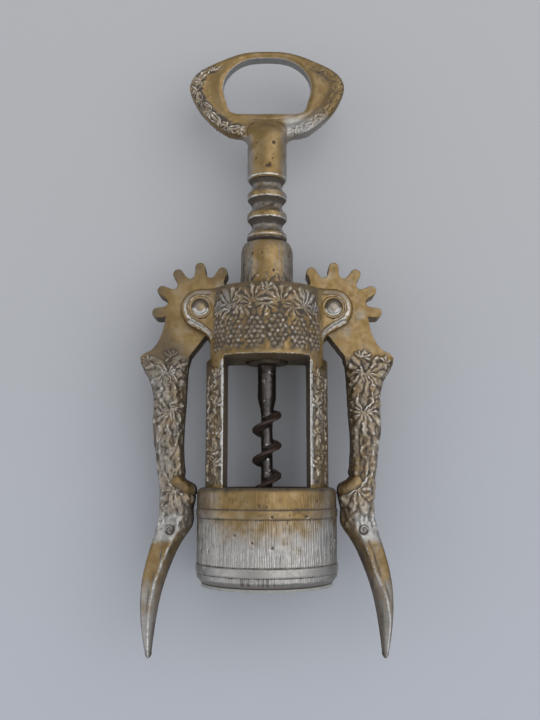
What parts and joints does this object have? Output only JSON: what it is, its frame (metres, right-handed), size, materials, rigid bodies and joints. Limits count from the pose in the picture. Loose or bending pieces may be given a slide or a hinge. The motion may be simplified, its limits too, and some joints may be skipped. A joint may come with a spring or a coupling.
{
  "type": "wing corkscrew",
  "caption": "Wing corkscrew with a barrel-shaped bell, geared lever arms, a ring rack, a steel worm and a bottle-opener handle; cast with a grape and vine relief.",
  "frame": {"origin": "centre of the bell's mouth, on the screw's axis", "axes": "+Y along the screw's axis from the bell to the handle, +X across the arms, +Z to the decorated front, up as the corkscrew lies on its back"},
  "size_m": [0.073, 0.1789, 0.04],
  "materials": {
    "worn_gilt_zinc": "cast zinc with a worn gold-toned plating, dark in the recesses and grey on the high points",
    "rack_metal": "turned, dull, worn grey on the lands",
    "rivet_metal": "dull, tarnished",
    "worm_steel": "dark, browned steel with rust on the flight",
    "seat_plastic": "pale grey, matt"
  },
  "bodies": {
    "frame": {"frame": "worn_gilt_zinc", "seat_ring": "seat_plastic", "left_rivet": "rivet_metal", "right_rivet": "rivet_metal"},
    "left_arm": {"left_lever": "worn_gilt_zinc"},
    "right_arm": {"right_lever": "worn_gilt_zinc"},
    "rack": {"rack": "rack_metal"},
    "spindle": {"handle": "worn_gilt_zinc", "worm": "worm_steel", "handle_pin": "rivet_metal"}
  },
  "joints": [
    {"name": "left_arm_swing", "type": "hinge", "parent": "frame", "child": "left_arm", "pos_m": [-0.01893, 0.0776, 0], "axis": [0, 0, 1], "range_deg": [-145, 0]},
    {"name": "right_arm_swing", "type": "hinge", "parent": "frame", "child": "right_arm", "pos_m": [0.01893, 0.0776, 0], "axis": [0, 0, 1], "range_deg": [0, 145]},
    {"name": "rack_slide", "type": "slide", "parent": "frame", "child": "rack", "axis": [0, 1, 0], "range_m": [-0.0304, 0]},
    {"name": "handle_turn", "type": "hinge", "parent": "rack", "child": "spindle", "pos_m": [0, 0.1178, 0], "axis": [0, 1, 0], "continuous": true}
  ],
  "couplings": [
    {"joint": "rack_slide", "follows": "left_arm_swing", "m_per_rad": 0.012},
    {"joint": "right_arm_swing", "follows": "left_arm_swing", "ratio": -1}
  ]
}
